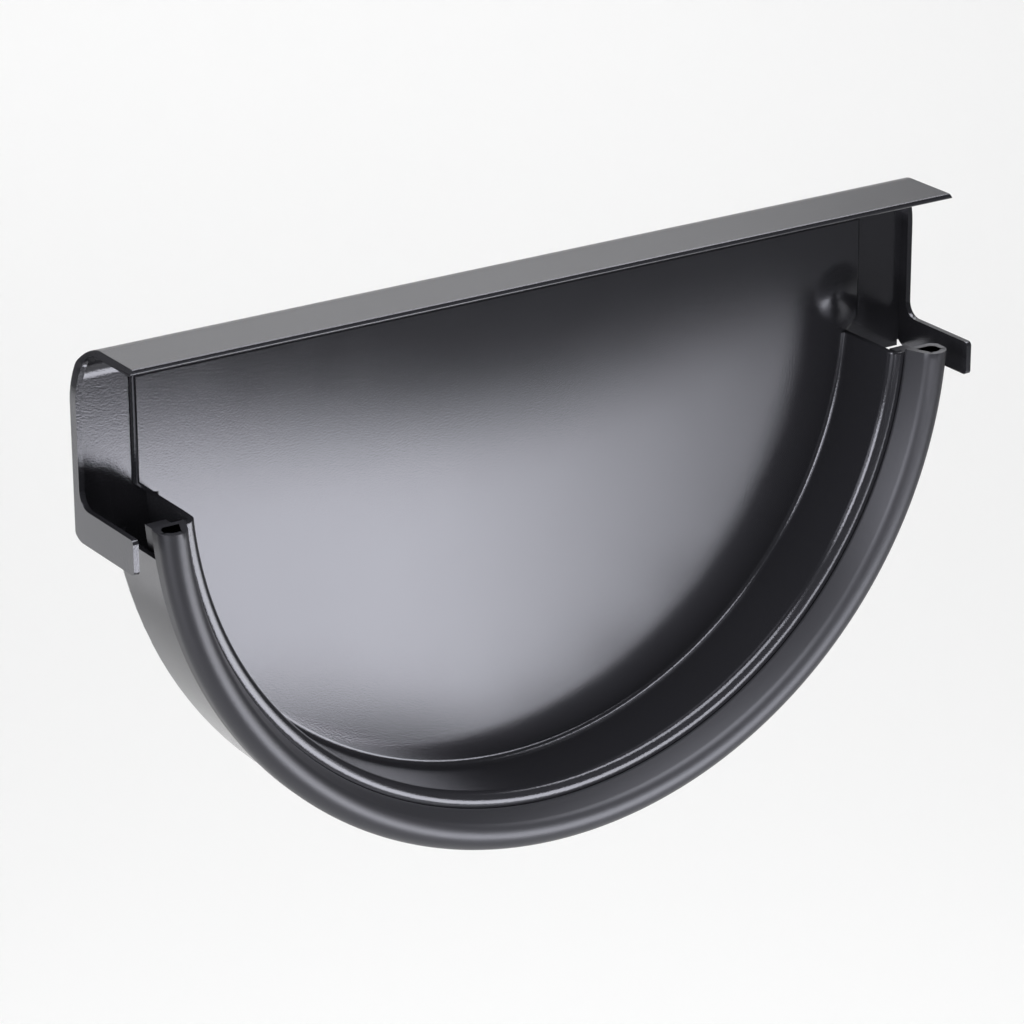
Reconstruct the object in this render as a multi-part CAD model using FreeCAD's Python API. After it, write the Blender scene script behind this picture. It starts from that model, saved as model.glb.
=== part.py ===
import FreeCAD, Part
import math
import os

# Half-round gutter end cap: an outer shell and an inner plate, both pressed and folded from sheet,
# with a rubber bulb seal held in the groove between them.
# Frame: X across the gutter, Y along it (the gutter lies towards -Y), Z up, millimetres.
# The origin is the centre of the half-round, in the front plane of the inner plate.

# Gutter and sheet
GUTTER_RADIUS = 62.5
SPIGOT_CLEARANCE = 0.3
SHEET = 0.8

# Half-round rim: outer wall, groove for the seal, inner flange with its keeper lip
RIM_DEPTH = 11.3
WALL_BEND = 2.4
GROOVE_WIDTH = 5.0
KEEPER_BEND = 1.5
KEEPER_LIP = 0.8
ROOT_SLOPE = 0.5
FLANGE_TOP = -4.6

# Inner plate above the flange ends
PLATE_OVERHANG = 2.5
PLATE_TOP_GAP = 0.2
SHOULDER_RISE = 1.6
PLATE_EDGE_RADIUS = 0.6

# Lip along the top of the shell
LIP_TOP = 17.3
LIP_DEPTH = 11.8
LIP_BEND = 5.0
LIP_EDGE_RADIUS = 0.3
LIP_END_INSET = 2.4
CORNER_DROP = 7.5

# Side flanges and ears of the shell, with room for the gutter's edge between ear and outer wall
EAR_GAP = 3.6
SIDE_BEND = 1.0
SIDE_DEPTH = 0.7
SIDE_TOP_FILLET = 2.0
EAR_DEPTH = 14.6
EAR_TOP = -4.0
EAR_HEIGHT = 4.8
EAR_FILLET = 2.2
EAR_TIP_RADIUS = 0.6
EAR_HEEL_RADIUS = 2.8

# Bulb seal
SEAL_SQUEEZE = 0.2
SEAL_BULB = 4.2
SEAL_WALL = 0.9
SEAL_UNDERCUT = 0.8
SEAL_LAP = 0.2
SEAL_EDGE = 0.5
SEAL_STEM = 5.0
SEAL_STEM_DROP = 1.2
SEAL_CLEARANCE = 0.25
SEAL_OVERRUN = 0.4

# Radii about the centre of the half-round
WALL_RADIUS = GUTTER_RADIUS - SPIGOT_CLEARANCE
GROOVE_RADIUS = WALL_RADIUS - SHEET
FLANGE_RADIUS = GROOVE_RADIUS - GROOVE_WIDTH - SHEET
KEEPER_RADIUS = FLANGE_RADIUS + KEEPER_BEND + KEEPER_LIP
SEAL_RADIUS = GUTTER_RADIUS + SEAL_SQUEEZE

# Half widths and heights that follow from them
HALF_WIDTH = WALL_RADIUS + EAR_GAP + SHEET
PLATE_HALF_WIDTH = FLANGE_RADIUS + PLATE_OVERHANG
PLATE_TOP = LIP_TOP - LIP_BEND - PLATE_TOP_GAP
PLATE_SHOULDER = FLANGE_TOP + SHOULDER_RISE
FOOT = EAR_TOP - EAR_HEIGHT
SEAL_TOP = FLANGE_TOP + SEAL_OVERRUN

# Distances ahead of the inner plate's front plane: the two sheets lie against each other
SHELL_FRONT = -SHEET
SHELL_BACK = -2 * SHEET

# Where the flange's outer face meets the level of its ends
NOTCH_HALF_WIDTH = math.sqrt((FLANGE_RADIUS + SHEET) ** 2 - FLANGE_TOP ** 2)

# Cutting blocks reach this far past what they cut
REACH = 2 * HALF_WIDTH
TOUCH = 1e-6

X_AXIS = FreeCAD.Vector(1, 0, 0)
Y_AXIS = FreeCAD.Vector(0, 1, 0)
Z_AXIS = FreeCAD.Vector(0, 0, 1)
ORIGIN = FreeCAD.Vector(0, 0, 0)


def in_section(across, ahead):
    """Point of a section to be turned round the Y axis: distance from the axis, and ahead of the plate."""
    return FreeCAD.Vector(across, -ahead, 0)


def in_side(ahead, height):
    """Point of a side view."""
    return FreeCAD.Vector(0, -ahead, height)


def in_front(across, height):
    """Point of a front view, in the plate's front plane."""
    return FreeCAD.Vector(across, 0, height)


def arc_middle(start, end, centre):
    """Middle of the shorter arc from start to end about a centre."""
    radius = math.dist(start, centre)
    chord = ((start[0] + end[0]) / 2 - centre[0], (start[1] + end[1]) / 2 - centre[1])
    stretch = radius / math.hypot(*chord)
    return centre[0] + chord[0] * stretch, centre[1] + chord[1] * stretch


def outline(place, steps):
    """Closed face from steps: a pair is a corner, and a third item is the centre of an arc to it."""
    edges = []
    last = steps[0][:2]
    for step in steps[1:] + [steps[0][:2]]:
        end = step[:2]
        if len(step) == 3:
            middle = arc_middle(last, end, step[2])
            edges.append(Part.Arc(place(*last), place(*middle), place(*end)).toShape())
        else:
            edges.append(Part.LineSegment(place(*last), place(*end)).toShape())
        last = end
    return Part.Face(Part.Wire(edges))


def along_width(face):
    """A side view carried through the whole width."""
    face.translate(X_AXIS * -REACH)
    return face.extrude(X_AXIS * 2 * REACH)


def half_turn(face):
    """A section turned through the lower half of the round."""
    return face.revolve(ORIGIN, Y_AXIS, 180)


def above(height):
    """Everything above a height."""
    corner = FreeCAD.Vector(-REACH, -REACH, height)
    return Part.makeBox(2 * REACH, 2 * REACH, REACH, corner)


def rounded_waste(corner, centre):
    """Material between a corner and the arc about a centre that rounds it, through the whole width."""
    return along_width(outline(in_side, [
        corner,
        (corner[0], centre[1]),
        (centre[0], corner[1], centre),
    ]))


def half_round():
    """Lower back plate of the shell, turned forward at its rim into the outer wall."""
    # Inside the groove the bend is a straight slope.
    bend = (WALL_RADIUS - WALL_BEND, SHELL_BACK + WALL_BEND)
    section = outline(in_section, [
        (0, SHELL_FRONT),
        (bend[0], SHELL_FRONT),
        (GROOVE_RADIUS, bend[1]),
        (GROOVE_RADIUS, RIM_DEPTH),
        (WALL_RADIUS, RIM_DEPTH),
        (WALL_RADIUS, bend[1]),
        (bend[0], SHELL_BACK, bend),
        (0, SHELL_BACK),
    ])
    return half_turn(section).cut(above(FOOT))


def envelope(inset):
    """Solid within the margin, side flanges and lip, shrunk by an inset; open runs reach past the ends."""
    half = HALF_WIDTH - inset
    top = LIP_TOP - inset
    back = SHELL_BACK + inset
    spare = REACH if inset else 0
    bottom = FOOT - spare
    # The side flanges sweep in to the lip's ends on an arc.
    sweep = (LIP_END_INSET ** 2 + CORNER_DROP ** 2) / (2 * LIP_END_INSET)
    right = (HALF_WIDTH - sweep, LIP_TOP - CORNER_DROP)
    left = (-right[0], right[1])
    end = right[0] + math.sqrt((sweep - inset) ** 2 - (top - right[1]) ** 2)
    face = outline(in_front, [
        (-half, bottom),
        (-half, left[1]),
        (-end, top, left),
        (end, top),
        (half, right[1], right),
        (half, bottom),
    ])
    face.translate(Y_AXIS * -back)
    solid = face.extrude(Y_AXIS * (back - EAR_DEPTH - spare))
    # The side bends are round outside and square inside.
    if not inset:
        side_edges = [edge for edge in solid.Edges if on_side_corner(edge, back)]
        solid = solid.makeFillet(SIDE_BEND, side_edges)
    return solid.cut(behind_bend(inset))


def on_side_corner(edge, back):
    """True for the back edges along the two sides, not along the top or the bottom."""
    ends = [vertex.Point for vertex in edge.Vertexes]
    behind = all(abs(point.y + back) < TOUCH for point in ends)
    return behind and ends[0].x * ends[1].x > 0


def behind_bend(inset):
    """Material outside the wide bend between the margin and the lip."""
    corner = (SHELL_BACK + inset, LIP_TOP - inset)
    return rounded_waste(corner, (SHELL_BACK + LIP_BEND, LIP_TOP - LIP_BEND))


def above_ears():
    """Room in front of the narrow side flange, rounded into the ear below and into the lip above."""
    under_lip = LIP_TOP - SHEET
    foot = (SIDE_DEPTH + EAR_FILLET, EAR_TOP + EAR_FILLET)
    head = (SIDE_DEPTH + SIDE_TOP_FILLET, under_lip - SIDE_TOP_FILLET)
    return along_width(outline(in_side, [
        (REACH, EAR_TOP),
        (foot[0], EAR_TOP),
        (SIDE_DEPTH, foot[1], foot),
        (SIDE_DEPTH, head[1]),
        (head[0], under_lip, head),
        (REACH, under_lip),
    ]))


def ahead_of_lip():
    """Room in front of the lip, whose front edge is rounded."""
    start = LIP_DEPTH - LIP_EDGE_RADIUS
    low = LIP_TOP - SHEET
    return along_width(outline(in_side, [
        (REACH, low),
        (start, low),
        (LIP_DEPTH, low + LIP_EDGE_RADIUS, (start, low + LIP_EDGE_RADIUS)),
        (LIP_DEPTH, LIP_TOP - LIP_EDGE_RADIUS),
        (start, LIP_TOP, (start, LIP_TOP - LIP_EDGE_RADIUS)),
        (REACH, LIP_TOP),
    ]))


def ear_corners():
    """Material outside the ears' rounded front corners and heels."""
    tip = EAR_DEPTH - EAR_TIP_RADIUS
    heel = (SHELL_BACK + EAR_HEEL_RADIUS, FOOT + EAR_HEEL_RADIUS)
    between_ears = Part.makeBox(
        2 * (HALF_WIDTH - SIDE_BEND), 2 * REACH, 2 * REACH,
        FreeCAD.Vector(SIDE_BEND - HALF_WIDTH, -REACH, -REACH))
    return [
        rounded_waste((EAR_DEPTH, EAR_TOP), (tip, EAR_TOP - EAR_TIP_RADIUS)),
        rounded_waste((EAR_DEPTH, FOOT), (tip, FOOT + EAR_TIP_RADIUS)),
        rounded_waste((SHELL_BACK, FOOT), heel).cut(between_ears),
    ]


def folded_top():
    """Margin, side flanges with their ears, and lip: a hollowed envelope, trimmed to its free edges."""
    hollow = envelope(0).cut(envelope(SHEET))
    return hollow.cut([above_ears(), ahead_of_lip()] + ear_corners())


def outer_shell():
    """Back plate with the lip, the side flanges and ears, and the outer wall of the half-round."""
    return folded_top().fuse(half_round()).removeSplitter().Solids[0]


def flange():
    """Lower inner plate, turned forward into the half-round flange, and out again as the keeper lip."""
    # The tight fold at the root is drawn as a slope, and so is the keeper's bend inside the groove.
    bend = (FLANGE_RADIUS + KEEPER_BEND, RIM_DEPTH - KEEPER_BEND)
    section = outline(in_section, [
        (0, 0),
        (FLANGE_RADIUS - ROOT_SLOPE, 0),
        (FLANGE_RADIUS, ROOT_SLOPE),
        (FLANGE_RADIUS, bend[1]),
        (bend[0], RIM_DEPTH, bend),
        (KEEPER_RADIUS, RIM_DEPTH),
        (KEEPER_RADIUS, RIM_DEPTH - SHEET),
        (bend[0], RIM_DEPTH - SHEET),
        (FLANGE_RADIUS + SHEET, bend[1]),
        (FLANGE_RADIUS + SHEET, -SHEET),
        (0, -SHEET),
    ])
    return half_turn(section).cut(above(FLANGE_TOP))


def plate_top():
    """Inner plate above the flange ends, its front edge rounded and its lower corners cut back."""
    face = outline(in_front, [
        (-NOTCH_HALF_WIDTH, FLANGE_TOP),
        (-PLATE_HALF_WIDTH, PLATE_SHOULDER),
        (-PLATE_HALF_WIDTH, PLATE_TOP),
        (PLATE_HALF_WIDTH, PLATE_TOP),
        (PLATE_HALF_WIDTH, PLATE_SHOULDER),
        (NOTCH_HALF_WIDTH, FLANGE_TOP),
    ])
    plate = face.extrude(Y_AXIS * SHEET)
    front_edges = [edge for edge in plate.Edges if on_plate_front(edge)]
    return plate.makeFillet(PLATE_EDGE_RADIUS, front_edges)


def on_plate_front(edge):
    """True for the plate's front edges, apart from the one that runs on into the lower plate."""
    ends = [vertex.Point for vertex in edge.Vertexes]
    in_front_plane = all(abs(point.y) < TOUCH for point in ends)
    lowest = all(abs(point.z - FLANGE_TOP) < TOUCH for point in ends)
    return in_front_plane and not lowest


def inner_plate():
    """Plate that lies on the shell's back, with the flange and its keeper lip round the lower half."""
    return plate_top().fuse(flange()).removeSplitter().Solids[0]


def rim_seal():
    """Hollow bulb seated on the outer wall's front edge and the keeper lip, with a stem in the groove."""
    radius = SEAL_BULB / 2
    bulb = (SEAL_RADIUS - radius, RIM_DEPTH + radius)
    edge = (KEEPER_RADIUS - SEAL_LAP, RIM_DEPTH + SEAL_EDGE)
    stem_in = KEEPER_RADIUS + SEAL_CLEARANCE
    stem_out = GROOVE_RADIUS - SEAL_CLEARANCE
    stem_end = RIM_DEPTH - SEAL_STEM
    # The upper flank leaves the bulb on a tangent.
    away = math.atan2(edge[1] - bulb[1], edge[0] - bulb[0])
    lean = away - math.acos(radius / math.dist(edge, bulb))
    flank = (bulb[0] + radius * math.cos(lean), bulb[1] + radius * math.sin(lean))
    section = outline(in_section, [
        (edge[0], RIM_DEPTH),
        (stem_in, RIM_DEPTH),
        (stem_in, stem_end),
        (stem_out, stem_end),
        (stem_out, RIM_DEPTH),
        (SEAL_RADIUS - SEAL_UNDERCUT, RIM_DEPTH),
        (SEAL_RADIUS, RIM_DEPTH + SEAL_UNDERCUT),
        (SEAL_RADIUS, bulb[1]),
        (bulb[0], bulb[1] + radius, bulb),
        (flank[0], flank[1], bulb),
        edge,
    ])
    hollow = seal_hollow(bulb, radius - SEAL_WALL, lean)
    ring = half_turn(section.cut(hollow).Faces[0]).cut(above(SEAL_TOP))
    # The stem stops short of the bulb's ends.
    stem_ends = above(SEAL_TOP - SEAL_STEM_DROP)
    stem_ends.translate(Y_AXIS * (REACH - RIM_DEPTH))
    return ring.cut(stem_ends).Solids[0]


def seal_hollow(bulb, reach, lean):
    """Straight-sided hollow of the bulb: its floor, outer side, crown, and inner side along the flank."""
    floor = RIM_DEPTH + SEAL_WALL
    shoulder = (bulb[0] + reach * math.cos(lean), bulb[1] + reach * math.sin(lean))
    return outline(in_section, [
        (shoulder[0] + (shoulder[1] - floor) * math.tan(lean), floor),
        (bulb[0] + reach, floor),
        (bulb[0] + reach, bulb[1]),
        (bulb[0], bulb[1] + reach),
        shoulder,
    ])


os.makedirs("parts", exist_ok=True)
outer_shell().exportStep("parts/outer_shell.step")
inner_plate().exportStep("parts/inner_plate.step")
rim_seal().exportStep("parts/rim_seal.step")
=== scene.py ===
import math

import bmesh
import bpy
from bpy.props import FloatProperty, FloatVectorProperty, PointerProperty, StringProperty
from mathutils import Matrix, Vector


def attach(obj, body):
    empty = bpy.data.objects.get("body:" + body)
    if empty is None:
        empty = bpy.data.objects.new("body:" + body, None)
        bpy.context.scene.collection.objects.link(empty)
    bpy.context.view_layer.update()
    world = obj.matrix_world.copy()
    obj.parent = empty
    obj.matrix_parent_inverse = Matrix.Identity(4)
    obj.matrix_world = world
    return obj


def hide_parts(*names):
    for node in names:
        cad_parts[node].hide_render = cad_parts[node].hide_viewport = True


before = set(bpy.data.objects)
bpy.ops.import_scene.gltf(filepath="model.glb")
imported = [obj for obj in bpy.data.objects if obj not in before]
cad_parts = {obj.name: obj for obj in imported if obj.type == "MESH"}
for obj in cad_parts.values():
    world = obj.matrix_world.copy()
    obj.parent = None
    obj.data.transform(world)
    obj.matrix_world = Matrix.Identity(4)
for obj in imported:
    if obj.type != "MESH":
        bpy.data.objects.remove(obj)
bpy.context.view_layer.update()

bl_info = {
    "name": "Half-round gutter end cap",
    "version": (1, 0, 0),
    "blender": (4, 5, 0),
    "location": "3D View > Sidebar > Gutter cap",
    "description": "Dresses a folded steel gutter end cap with its bulb seal on a pale stage",
    "category": "Object",
}

MM = 0.001
BODY = "root"
FRAME_PIXELS = 1024
SENSOR_MM = 36.0
# Nearest distance that the camera sees
CLIP_START = 0.01
# Index of refraction of paint and of rubber
COAT_IOR = 1.5
# The middle part of a noise's values, where most of them lie
NOISE_LOW = 0.3
NOISE_HIGH = 0.7

# Where the lamps aim, and how far off the side lamps stand
MIDDLE = Vector((0, -5, -22)) * MM
SIDE_LAMP_DISTANCE = 0.45
# The point of the panel that mirrors the key lamps, and their distance from it
PANEL_POINT = Vector((-28, 0, -29)) * MM
KEY_DISTANCE = 0.11
# Key lamps: name, place across and above the mirrored view, width and height in mm, radiance
KEY_LAMPS = (
    ("key_softbox", -24, 5, (72, 44), 11.2),
    ("key_fade_1", 18, 4.5, (12, 48), 9.8),
    ("key_fade_2", 30, 8.5, (12, 45), 8.0),
    ("key_fade_3", 42, 15, (12, 41), 6.2),
    ("key_fade_4", 54, 23, (12, 36), 4.4),
    ("key_fade_5", 66, 31, (12, 30), 2.8),
)
# Half the side of the paper's floor, and of its wall
PAPER_HALF = 4.0

# Sheet edges turn by more than this, and bends by less from one facet to the next
SHARP_ANGLE = math.radians(42)
# Facets that turn by less than this are one flat face
FLAT_ANGLE = math.radians(0.5)
# Facet corners closer than this are one corner
WELD = 0.0005 * MM
# Steps of a half turn, and of a quarter-round bend
TURN_STEPS = 180
BEND_STEPS = 8
# Weight that lets the large flat faces rule the shading
FLAT_WEIGHT = 100


def linear(code):
    """Linear colour of an sRGB hex code."""
    channels = [int(code[i:i + 2], 16) / 255 for i in (1, 3, 5)]
    return tuple(c / 12.92 if c <= 0.04045 else ((c + 0.055) / 1.055) ** 2.4 for c in channels) + (1.0,)


def add(tree, kind, links=None, **settings):
    """Adds a node. Links map an input's name or number to a socket or a value; settings are attributes."""
    node = tree.nodes.new(kind)
    for key, value in settings.items():
        setattr(node, key, value)
    for key, value in (links or {}).items():
        if isinstance(value, bpy.types.NodeSocket):
            tree.links.new(value, node.inputs[key])
        else:
            node.inputs[key].default_value = value
    return node


def new_material(name):
    """An empty node material with its output."""
    material = bpy.data.materials.new(name)
    material.use_nodes = True
    material.node_tree.nodes.clear()
    return material, material.node_tree, add(material.node_tree, "ShaderNodeOutputMaterial")


def noise(tree, place, size_mm, detail=2.0):
    """Noise whose grains are about a size across."""
    return add(tree, "ShaderNodeTexNoise", {"Vector": place, "Scale": 1 / (size_mm * MM), "Detail": detail})


def press_mark(tree, place, settings):
    """Height of a low swell above the right-hand notch, where the press has drawn the metal forward."""
    spot = add(tree, "ShaderNodeVectorMath", {0: place, 1: (1, 0, 1)}, operation="MULTIPLY")
    away = add(tree, "ShaderNodeVectorMath", {
        0: spot.outputs["Vector"], 1: (settings.mark_across, 0, settings.mark_height)}, operation="DISTANCE")
    return add(tree, "ShaderNodeMapRange", {
        "Value": away.outputs["Value"], "From Min": settings.mark_radius, "From Max": 0.0},
        interpolation_type="SMOOTHERSTEP").outputs["Result"]


def coated_steel(name, settings, pressed=False):
    """Satin coil coating on steel: near black graphite, with soft broad highlights and a fine grain."""
    material, tree, output = new_material(name)
    place = add(tree, "ShaderNodeTexCoord").outputs["Object"]
    grain = noise(tree, place, settings.grain_mm)
    cloud = noise(tree, place, settings.cloud_mm, detail=3.0)
    gloss = add(tree, "ShaderNodeMapRange", {
        "Value": cloud.outputs["Fac"], "From Min": NOISE_LOW, "From Max": NOISE_HIGH,
        "To Min": settings.roughness - settings.cloud_depth,
        "To Max": settings.roughness + settings.cloud_depth})
    bump = add(tree, "ShaderNodeBump", {
        "Height": grain.outputs["Fac"], "Strength": settings.grain_strength,
        "Distance": settings.grain_mm * MM})
    if pressed:
        swell = add(tree, "ShaderNodeBump", {
            "Height": press_mark(tree, place, settings), "Distance": settings.mark_rise, "Strength": 1.0})
        tree.links.new(swell.outputs["Normal"], bump.inputs["Normal"])
    shader = add(tree, "ShaderNodeBsdfPrincipled", {
        "Base Color": linear(settings.colour), "Roughness": gloss.outputs["Result"],
        "Specular Tint": linear(settings.sheen), "Normal": bump.outputs["Normal"], "IOR": COAT_IOR})
    tree.links.new(shader.outputs["BSDF"], output.inputs["Surface"])
    return material


def epdm_rubber(settings):
    """Extruded EPDM rubber: dark grey and matt, with a faint fine unevenness."""
    material, tree, output = new_material("extruded_epdm_rubber")
    place = add(tree, "ShaderNodeTexCoord").outputs["Object"]
    grain = noise(tree, place, settings.grain_mm)
    bump = add(tree, "ShaderNodeBump", {
        "Height": grain.outputs["Fac"], "Strength": settings.grain_strength,
        "Distance": settings.grain_mm * MM})
    shader = add(tree, "ShaderNodeBsdfPrincipled", {
        "Base Color": linear(settings.colour), "Roughness": settings.roughness,
        "Specular Tint": linear(settings.sheen), "Normal": bump.outputs["Normal"], "IOR": COAT_IOR})
    tree.links.new(shader.outputs["BSDF"], output.inputs["Surface"])
    return material


def arc(centre, radius, start, end, steps=BEND_STEPS):
    """Points of an arc in a section, from one angle to another in degrees."""
    angles = [math.radians(start + (end - start) * step / steps) for step in range(steps + 1)]
    return [(centre[0] + radius * math.cos(angle), centre[1] + radius * math.sin(angle)) for angle in angles]


def turn_section(shape, section, closed, top):
    """Turns a section of points (from the axis, ahead of the plate) round the half below a height."""
    corners = [shape.verts.new((across, -ahead, 0)) for across, ahead in section]
    pairs = list(zip(corners, corners[1:]))
    if closed:
        pairs.append((corners[-1], corners[0]))
    edges = [shape.edges.new(pair) for pair in pairs]
    earlier = set(shape.verts) - set(corners)
    bmesh.ops.spin(
        shape, geom=corners + edges, cent=(0, 0, 0), axis=(0, 1, 0), angle=math.pi, steps=TURN_STEPS)
    turned = [vert for vert in shape.verts if vert not in earlier]
    bmesh.ops.remove_doubles(shape, verts=turned, dist=WELD)
    turned = [vert for vert in shape.verts if vert not in earlier]
    geometry = turned + [edge for edge in shape.edges if edge.verts[0] not in earlier]
    geometry += [face for face in shape.faces if face.verts[0] not in earlier]
    bmesh.ops.bisect_plane(
        shape, geom=geometry, dist=WELD, plane_co=(0, 0, top), plane_no=(0, 0, 1), clear_outer=True)


def open_edges(shape):
    """Edges with a face on one side only."""
    return [edge for edge in shape.edges if edge.is_boundary]


def at_height(edge, height):
    """True where both ends of an edge lie at a height."""
    return all(abs(vert.co.z - height) < WELD for vert in edge.verts)


def soften(shape, edges, offset, segments=2):
    """Rounds edges a little."""
    bmesh.ops.bevel(
        shape, geom=edges, offset=offset, offset_type="OFFSET", affect="EDGES", segments=segments,
        profile=0.5, material=-1, clamp_overlap=True)


def finish_piece(shape, name, node, material):
    """Makes a shape into a smooth-shaded piece that stands for a packed one."""
    bmesh.ops.recalc_face_normals(shape, faces=shape.faces)
    for face in shape.faces:
        face.smooth = True
    for edge in shape.edges:
        edge.smooth = edge.calc_face_angle(0) < SHARP_ANGLE
    mesh = bpy.data.meshes.new(name)
    shape.to_mesh(mesh)
    shape.free()
    mesh.materials.append(material)
    piece = bpy.data.objects.new(name, mesh)
    bpy.context.scene.collection.objects.link(piece)
    weighted = piece.modifiers.new("even_shading", "WEIGHTED_NORMAL")
    weighted.keep_sharp = True
    weighted.weight = FLAT_WEIGHT
    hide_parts(node)
    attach(piece, BODY)


class ShellShape(bpy.types.PropertyGroup):
    """Touches to the outer shell."""
    edge_round: FloatProperty(
        name="Edge", description="Rounding of the sheet's cut edges", default=0.12 * MM, unit="LENGTH")


class PlateShape(bpy.types.PropertyGroup):
    """Sizes of the inner plate, which lies in front of the shell's back plate."""
    sheet: FloatProperty(name="Sheet", description="Thickness of the sheet", default=0.8 * MM, unit="LENGTH")
    half_width: FloatProperty(
        name="Half width", description="From the middle to a side", default=58.1 * MM, unit="LENGTH")
    top: FloatProperty(name="Top", description="Height of the top edge", default=12.1 * MM, unit="LENGTH")
    shoulder: FloatProperty(
        name="Shoulder", description="Height where the sides turn in to the flange",
        default=-3.0 * MM, unit="LENGTH")
    edge_round: FloatProperty(
        name="Edge", description="Rounding of the plate's front edge", default=0.6 * MM, unit="LENGTH")
    flange_radius: FloatProperty(
        name="Flange", description="Radius of the flange's inside", default=55.6 * MM, unit="LENGTH")
    flange_depth: FloatProperty(
        name="Flange depth", description="How far the flange comes forward",
        default=11.3 * MM, unit="LENGTH")
    flange_top: FloatProperty(
        name="Flange top", description="Height of the flange's ends", default=-4.6 * MM, unit="LENGTH")
    root_round: FloatProperty(
        name="Root", description="Rounding of the fold at the flange's root",
        default=0.8 * MM, unit="LENGTH")
    keeper_bend: FloatProperty(
        name="Keeper bend", description="Radius of the flange's turned-out front",
        default=1.5 * MM, unit="LENGTH")
    keeper_end: FloatProperty(
        name="Keeper end", description="Angle at which the keeper's bend ends, 90 degrees being square",
        default=math.radians(62), subtype="ANGLE")
    cut_round: FloatProperty(
        name="Cut edge", description="Rounding of the flange's cut edges", default=0.15 * MM, unit="LENGTH")


class SealShape(bpy.types.PropertyGroup):
    """Sizes of the bulb seal."""
    radius: FloatProperty(
        name="Radius", description="Outside radius of the bulb's run", default=62.7 * MM, unit="LENGTH")
    seat: FloatProperty(
        name="Seat", description="Distance of the seat ahead of the plate", default=11.3 * MM, unit="LENGTH")
    bulb: FloatProperty(name="Bulb", description="Height of the bulb", default=4.2 * MM, unit="LENGTH")
    undercut: FloatProperty(
        name="Undercut", description="Slope under the bulb's outer side", default=0.8 * MM, unit="LENGTH")
    inner_edge: FloatProperty(
        name="Inner edge", description="Radius of the thin edge on the keeper",
        default=57.7 * MM, unit="LENGTH")
    edge_height: FloatProperty(
        name="Edge height", description="Thickness of that edge", default=0.5 * MM, unit="LENGTH")
    wall: FloatProperty(name="Wall", description="Wall round the hollow", default=0.9 * MM, unit="LENGTH")
    stem_inside: FloatProperty(
        name="Stem inside", description="Radius of the stem's inner side", default=58.15 * MM, unit="LENGTH")
    stem_outside: FloatProperty(
        name="Stem outside", description="Radius of the stem's outer side",
        default=61.15 * MM, unit="LENGTH")
    stem_depth: FloatProperty(
        name="Stem depth", description="How deep the stem goes into the groove",
        default=4.0 * MM, unit="LENGTH")
    top: FloatProperty(name="Top", description="Height of the bulb's ends", default=-4.2 * MM, unit="LENGTH")
    stem_top: FloatProperty(
        name="Stem top", description="Height of the stem's ends", default=-5.4 * MM, unit="LENGTH")
    cut_round: FloatProperty(
        name="Cut edge", description="Rounding of the seal's cut edges", default=0.15 * MM, unit="LENGTH")


class SheetFinish(bpy.types.PropertyGroup):
    """Finish of the two folded sheets."""
    colour: StringProperty(name="Colour", description="sRGB hex code of the coating", default="#1c1c1f")
    sheen: StringProperty(
        name="Sheen", description="sRGB hex code of the coating's highlights", default="#f1f2ff")
    roughness: FloatProperty(
        name="Roughness", description="Roughness of the satin coating", default=0.16, subtype="FACTOR")
    grain_mm: FloatProperty(name="Grain", description="Size of the coating's grain in mm", default=0.25)
    grain_strength: FloatProperty(name="Grain depth", description="Strength of the grain", default=0.08)
    cloud_mm: FloatProperty(
        name="Unevenness", description="Size of the gloss's unevenness in mm", default=9.0)
    cloud_depth: FloatProperty(
        name="Unevenness depth", description="How far the roughness strays either way", default=0.01)
    mark_across: FloatProperty(
        name="Mark across", description="From the middle to the swell above a notch",
        default=54.5 * MM, unit="LENGTH")
    mark_height: FloatProperty(
        name="Mark height", description="Height of that swell's middle", default=1.5 * MM, unit="LENGTH")
    mark_radius: FloatProperty(
        name="Mark radius", description="Radius of that swell", default=5.0 * MM, unit="LENGTH")
    mark_rise: FloatProperty(
        name="Mark rise", description="How far it stands forward", default=0.7 * MM, unit="LENGTH")


class SealFinish(bpy.types.PropertyGroup):
    """Finish of the bulb seal."""
    colour: StringProperty(name="Colour", description="sRGB hex code of the rubber", default="#202023")
    sheen: StringProperty(
        name="Sheen", description="sRGB hex code of the rubber's highlights", default="#f1f2ff")
    roughness: FloatProperty(
        name="Roughness", description="Roughness of the rubber", default=0.42, subtype="FACTOR")
    grain_mm: FloatProperty(name="Grain", description="Size of the rubber's grain in mm", default=0.4)
    grain_strength: FloatProperty(name="Grain depth", description="Strength of the grain", default=0.03)


class Studio(bpy.types.PropertyGroup):
    """Camera, paper and surrounding light."""
    azimuth: FloatProperty(
        name="Azimuth", description="Camera's turn round the cap from its front", subtype="ANGLE",
        default=math.radians(-33.2))
    elevation: FloatProperty(
        name="Elevation", description="Camera's height above the horizon", subtype="ANGLE",
        default=math.radians(21.6))
    roll: FloatProperty(
        name="Roll", description="Camera's roll", subtype="ANGLE", default=math.radians(-0.3))
    distance: FloatProperty(
        name="Distance", description="From the camera to the half-round's centre, along the view",
        default=0.604, unit="LENGTH")
    focal_pixels: FloatProperty(
        name="Focal length", description="Focal length in pixels of the picture", default=4500.0)
    centre_pixel: FloatVectorProperty(
        name="Centre in the picture", description="Pixel where the half-round's centre shows",
        size=2, default=(515.1, 376.2))
    floor_height: FloatProperty(
        name="Floor", description="Height of the floor, from the half-round's centre",
        default=-0.35, unit="LENGTH")
    wall_distance: FloatProperty(
        name="Wall", description="Distance of the wall behind the half-round's centre",
        default=1.9, unit="LENGTH")
    paper_colour: StringProperty(
        name="Paper", description="sRGB hex code of the floor and the wall", default="#f4f4f4")
    world_level: FloatProperty(name="World", description="Strength of the surrounding light", default=0.12)


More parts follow.
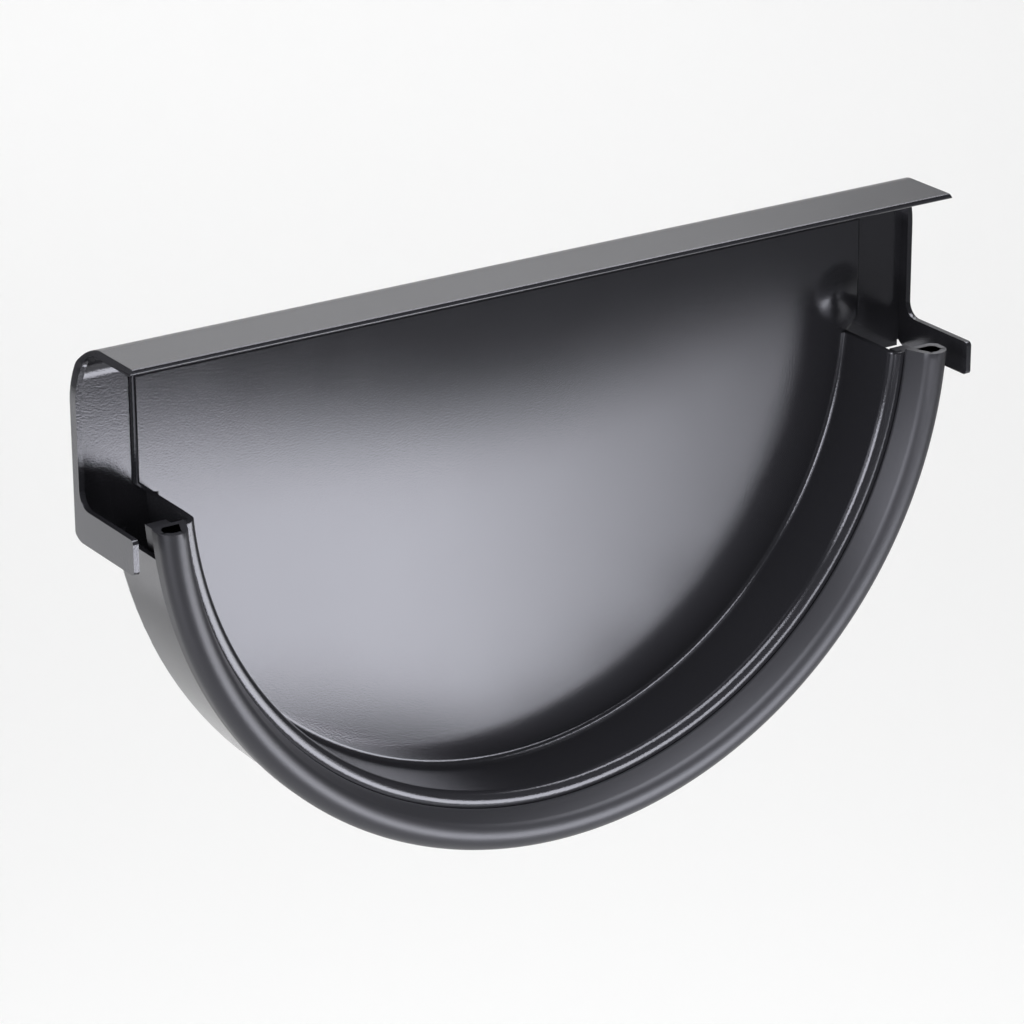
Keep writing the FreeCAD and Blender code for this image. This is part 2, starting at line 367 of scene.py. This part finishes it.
class GUTTERCAP_OT_dress_shell(bpy.types.Operator):
    """Gives the outer shell its coated steel skin, with softened cut edges"""
    bl_idname = "guttercap.dress_shell"
    bl_label = "Dress the outer shell"

    def execute(self, context):
        shape = bmesh.new()
        shape.from_mesh(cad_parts["outer_shell"].data)
        bmesh.ops.remove_doubles(shape, verts=shape.verts, dist=WELD)
        bmesh.ops.dissolve_limit(shape, angle_limit=FLAT_ANGLE, verts=shape.verts, edges=shape.edges)
        cut_edges = [edge for edge in shape.edges if edge.calc_face_angle(0) > SHARP_ANGLE]
        soften(shape, cut_edges, context.scene.guttercap_shell.edge_round)
        steel = coated_steel("graphite_coated_steel", context.scene.guttercap_sheet)
        finish_piece(shape, "outer_shell_skin", "outer_shell", steel)
        return {"FINISHED"}


class GUTTERCAP_OT_dress_plate(bpy.types.Operator):
    """Turns the inner plate's flange and keeper lip and sets the upper plate on it"""
    bl_idname = "guttercap.dress_plate"
    bl_label = "Dress the inner plate"

    def execute(self, context):
        sizes = context.scene.guttercap_plate
        shape = bmesh.new()
        sheet = sizes.sheet
        radius = sizes.flange_radius
        root = (radius - sizes.root_round, sizes.root_round)
        keeper = (radius + sizes.keeper_bend, sizes.flange_depth - sizes.keeper_bend)
        keeper_end = math.degrees(sizes.keeper_end)
        section = [(0, 0)]
        section += arc(root, sizes.root_round, -90, 0)
        # The keeper's bend goes on past square, so that its free edge dips under the seal.
        section += arc(keeper, sizes.keeper_bend, 180, keeper_end, 2 * BEND_STEPS)
        section += arc(keeper, sizes.keeper_bend - sheet, keeper_end, 180)
        section += [(radius + sheet, -sheet), (0, -sheet)]
        turn_section(shape, section, False, sizes.flange_top)
        bmesh.ops.holes_fill(shape, edges=open_edges(shape), sides=0)
        ends = [
            cut for cut in shape.edges
            if at_height(cut, sizes.flange_top) and max(vert.co.y for vert in cut.verts) < -sizes.root_round]
        soften(shape, ends, sizes.cut_round)

        notch = math.sqrt((radius + sheet) ** 2 - sizes.flange_top ** 2)
        right = [
            (notch, sizes.flange_top),
            (sizes.half_width, sizes.shoulder),
            (sizes.half_width, sizes.top),
        ]
        left = [(-across, height) for across, height in reversed(right)]
        corners = [shape.verts.new((across, 0, height)) for across, height in right + left]
        outline = [shape.edges.new(pair) for pair in zip(corners, corners[1:] + corners[:1])]
        plate = bmesh.ops.contextual_create(shape, geom=outline)["faces"]
        made = bmesh.ops.extrude_face_region(shape, geom=plate)["geom"]
        behind = [item for item in made if isinstance(item, bmesh.types.BMVert)]
        bmesh.ops.translate(shape, verts=behind, vec=(0, sheet, 0))
        front = [
            side for side in shape.edges
            if set(side.verts) <= set(corners) and not at_height(side, sizes.flange_top)]
        soften(shape, front, sizes.edge_round, segments=4)

        steel = coated_steel("pressed_graphite_coated_steel", context.scene.guttercap_sheet, pressed=True)
        finish_piece(shape, "inner_plate_skin", "inner_plate", steel)
        return {"FINISHED"}


class GUTTERCAP_OT_dress_seal(bpy.types.Operator):
    """Turns the hollow bulb of the seal and its stem"""
    bl_idname = "guttercap.dress_seal"
    bl_label = "Dress the bulb seal"

    def execute(self, context):
        sizes = context.scene.guttercap_seal_shape
        shape = bmesh.new()
        radius = sizes.bulb / 2
        bulb = (sizes.radius - radius, sizes.seat + radius)
        edge = (sizes.inner_edge, sizes.seat + sizes.edge_height)
        # The upper flank leaves the bulb on a tangent.
        away = math.atan2(edge[1] - bulb[1], edge[0] - bulb[0]) % math.tau
        lean = away - math.acos(radius / math.dist(edge, bulb))
        crown = math.degrees(lean)
        section = [(sizes.inner_edge, sizes.seat), (sizes.radius - sizes.undercut, sizes.seat)]
        section += [(sizes.radius, sizes.seat + sizes.undercut)]
        section += arc(bulb, radius, 0, crown, 3 * BEND_STEPS)
        section += [edge]
        turn_section(shape, section, True, sizes.top)

        inside = radius - sizes.wall
        floor = sizes.seat + sizes.wall
        shoulder = (bulb[0] + inside * math.cos(lean), bulb[1] + inside * math.sin(lean))
        corner = (shoulder[0] + (shoulder[1] - floor) * math.tan(lean), floor)
        hollow = [corner, (bulb[0] + inside / 2, floor), (bulb[0] + inside, floor + inside / 2)]
        hollow += arc(bulb, inside, 0, crown, 2 * BEND_STEPS)
        turn_section(shape, hollow, True, sizes.top)
        for side in (-1, 1):
            loops = [cut for cut in open_edges(shape) if cut.verts[0].co.x * side > 0]
            bmesh.ops.bridge_loops(shape, edges=loops)
        soften(
            shape,
            [cut for cut in shape.edges
             if at_height(cut, sizes.top) and cut.calc_face_angle(0) > SHARP_ANGLE],
            sizes.cut_round)

        stem_end = sizes.seat - sizes.stem_depth
        stem = [
            (sizes.stem_inside, sizes.seat),
            (sizes.stem_inside, stem_end),
            (sizes.stem_outside, stem_end),
            (sizes.stem_outside, sizes.seat),
        ]
        turn_section(shape, stem, True, sizes.stem_top)
        bmesh.ops.holes_fill(shape, edges=open_edges(shape), sides=0)
        rubber = epdm_rubber(context.scene.guttercap_seal)
        finish_piece(shape, "rim_seal_skin", "rim_seal", rubber)
        return {"FINISHED"}


def direction(turn, lift):
    """Direction at a turn from the front and a lift above the horizon."""
    return Vector((math.sin(turn) * math.cos(lift), -math.cos(turn) * math.cos(lift), math.sin(lift)))


def view_axes(studio):
    """Right, up and back of the camera."""
    turn, roll = studio.azimuth, studio.roll
    back = direction(turn, studio.elevation)
    right = Vector((math.cos(turn), math.sin(turn), 0))
    up = back.cross(right)
    return (
        math.cos(roll) * right + math.sin(roll) * up,
        math.cos(roll) * up - math.sin(roll) * right,
        back,
    )


def place_camera(studio):
    """Camera that shows the half-round's centre at its pixel of the picture."""
    right, up, back = view_axes(studio)
    data = bpy.data.cameras.new("camera")
    data.sensor_width = SENSOR_MM
    data.lens = studio.focal_pixels * data.sensor_width / FRAME_PIXELS
    data.clip_start = CLIP_START
    camera = bpy.data.objects.new("camera", data)
    across = (studio.centre_pixel[0] - FRAME_PIXELS / 2) / studio.focal_pixels * studio.distance
    above = (FRAME_PIXELS / 2 - studio.centre_pixel[1]) / studio.focal_pixels * studio.distance
    turn = Matrix((right, up, back)).transposed().to_4x4()
    camera.matrix_world = Matrix.Translation(back * studio.distance - right * across - up * above) @ turn
    bpy.context.scene.collection.objects.link(camera)
    bpy.context.scene.camera = camera


def softbox(name, centre, towards, size, radiance):
    """Rectangular lamp of an even radiance that faces a point, with two of its sides level."""
    data = bpy.data.lights.new(name, "AREA")
    data.shape = "RECTANGLE"
    data.size, data.size_y = size
    data.energy = radiance * math.pi * size[0] * size[1]
    lamp = bpy.data.objects.new(name, data)
    aim = Vector(towards) - Vector(centre)
    facing = aim.to_track_quat("-Z", "Y").to_matrix().to_4x4()
    lamp.matrix_world = Matrix.Translation(centre) @ facing
    bpy.context.scene.collection.objects.link(lamp)


def beside(azimuth, elevation):
    """Place of a side lamp, by its direction in degrees as seen from the part's middle."""
    return MIDDLE + SIDE_LAMP_DISTANCE * direction(math.radians(azimuth), math.radians(elevation))


def lay_paper(studio):
    """Floor and wall of matt white paper, which takes the part's shadow and gives a pale even ground."""
    shape = bmesh.new()
    bmesh.ops.create_grid(shape, x_segments=1, y_segments=1, size=PAPER_HALF)
    bmesh.ops.translate(shape, verts=shape.verts, vec=(0, 0, studio.floor_height))
    wall = bmesh.ops.create_grid(shape, x_segments=1, y_segments=1, size=PAPER_HALF)["verts"]
    bmesh.ops.rotate(shape, verts=wall, cent=(0, 0, 0), matrix=Matrix.Rotation(math.radians(90), 3, "X"))
    bmesh.ops.translate(shape, verts=wall, vec=(0, studio.wall_distance, 0))
    mesh = bpy.data.meshes.new("paper_sweep")
    shape.to_mesh(mesh)
    shape.free()
    sweep = bpy.data.objects.new("paper_sweep", mesh)
    bpy.context.scene.collection.objects.link(sweep)
    material, tree, output = new_material("matt_white_paper")
    paper = add(tree, "ShaderNodeBsdfDiffuse", {"Color": linear(studio.paper_colour)})
    tree.links.new(paper.outputs["BSDF"], output.inputs["Surface"])
    mesh.materials.append(material)


def light_world(studio):
    """Even white light from all round."""
    world = bpy.data.worlds.new("studio")
    world.use_nodes = True
    background = world.node_tree.nodes["Background"]
    background.inputs["Color"].default_value = (1, 1, 1, 1)
    background.inputs["Strength"].default_value = studio.world_level
    bpy.context.scene.world = world


def hang_lamps(studio):
    """Key lamps that the panel mirrors, lamps above and at the left for the bends, and one for the paper."""
    # The key lamps stand where the panel mirrors the view, low in front and close.
    # They fade and rise to the right.
    back = view_axes(studio)[2]
    mirrored = Vector((-back.x, back.y, -back.z))
    level = Vector((-mirrored.y, mirrored.x, 0)).normalized()
    upright = level.cross(-mirrored)
    for name, across, above, size, radiance in KEY_LAMPS:
        centre = PANEL_POINT + mirrored * KEY_DISTANCE + (level * across + upright * above) * MM
        softbox(name, centre, centre - mirrored, (size[0] * MM, size[1] * MM), radiance)
    softbox(
        "overhead_softbox", centre=(0.05, -0.1, 0.45), towards=MIDDLE, size=(0.8, 0.24), radiance=8.0)
    softbox("left_softbox", centre=beside(-74, 18), towards=MIDDLE, size=(0.2, 0.24), radiance=11.0)
    softbox("left_low_softbox", centre=beside(-65, -20), towards=MIDDLE, size=(0.22, 0.2), radiance=2.0)
    softbox("back_left_softbox", centre=beside(-140, -20), towards=MIDDLE, size=(0.25, 0.2), radiance=1.0)
    softbox(
        "paper_softbox", centre=(0.75, 1.25, 1.1), towards=(0.75, 1.25, 0), size=(1.5, 1.3), radiance=3.1)


class GUTTERCAP_OT_build_stage(bpy.types.Operator):
    """Makes the floor, the wall, the lamps, the surrounding light and the camera"""
    bl_idname = "guttercap.build_stage"
    bl_label = "Build the stage"

    def execute(self, context):
        studio = context.scene.guttercap_studio
        place_camera(studio)
        lay_paper(studio)
        light_world(studio)
        hang_lamps(studio)
        context.scene.view_settings.view_transform = "Standard"
        return {"FINISHED"}


class GUTTERCAP_PT_panel(bpy.types.Panel):
    """Lists the steps that dress the cap and build its stage"""
    bl_idname = "GUTTERCAP_PT_panel"
    bl_label = "Gutter end cap"
    bl_space_type = "VIEW_3D"
    bl_region_type = "UI"
    bl_category = "Gutter cap"

    def draw(self, context):
        for operator in OPERATORS:
            self.layout.operator(operator.bl_idname)
        for name in SETTINGS:
            box = self.layout.box()
            group = getattr(context.scene, name)
            for key in group.bl_rna.properties.keys():
                if key not in ("rna_type", "name"):
                    box.prop(group, key)


OPERATORS = (
    GUTTERCAP_OT_dress_shell,
    GUTTERCAP_OT_dress_plate,
    GUTTERCAP_OT_dress_seal,
    GUTTERCAP_OT_build_stage,
)
SETTINGS = {
    "guttercap_shell": ShellShape,
    "guttercap_plate": PlateShape,
    "guttercap_seal_shape": SealShape,
    "guttercap_sheet": SheetFinish,
    "guttercap_seal": SealFinish,
    "guttercap_studio": Studio,
}


def register():
    """Registers the settings, the operators and the panel."""
    for name, group in SETTINGS.items():
        bpy.utils.register_class(group)
        setattr(bpy.types.Scene, name, PointerProperty(type=group))
    for operator in OPERATORS:
        bpy.utils.register_class(operator)
    bpy.utils.register_class(GUTTERCAP_PT_panel)


def unregister():
    """Takes everything back out."""
    bpy.utils.unregister_class(GUTTERCAP_PT_panel)
    for operator in reversed(OPERATORS):
        bpy.utils.unregister_class(operator)
    for name, group in SETTINGS.items():
        delattr(bpy.types.Scene, name)
        bpy.utils.unregister_class(group)


def main():
    """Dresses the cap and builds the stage."""
    register()
    bpy.ops.guttercap.dress_shell()
    bpy.ops.guttercap.dress_plate()
    bpy.ops.guttercap.dress_seal()
    bpy.ops.guttercap.build_stage()
    bpy.context.view_layer.update()


if __name__ == "__main__":
    main()
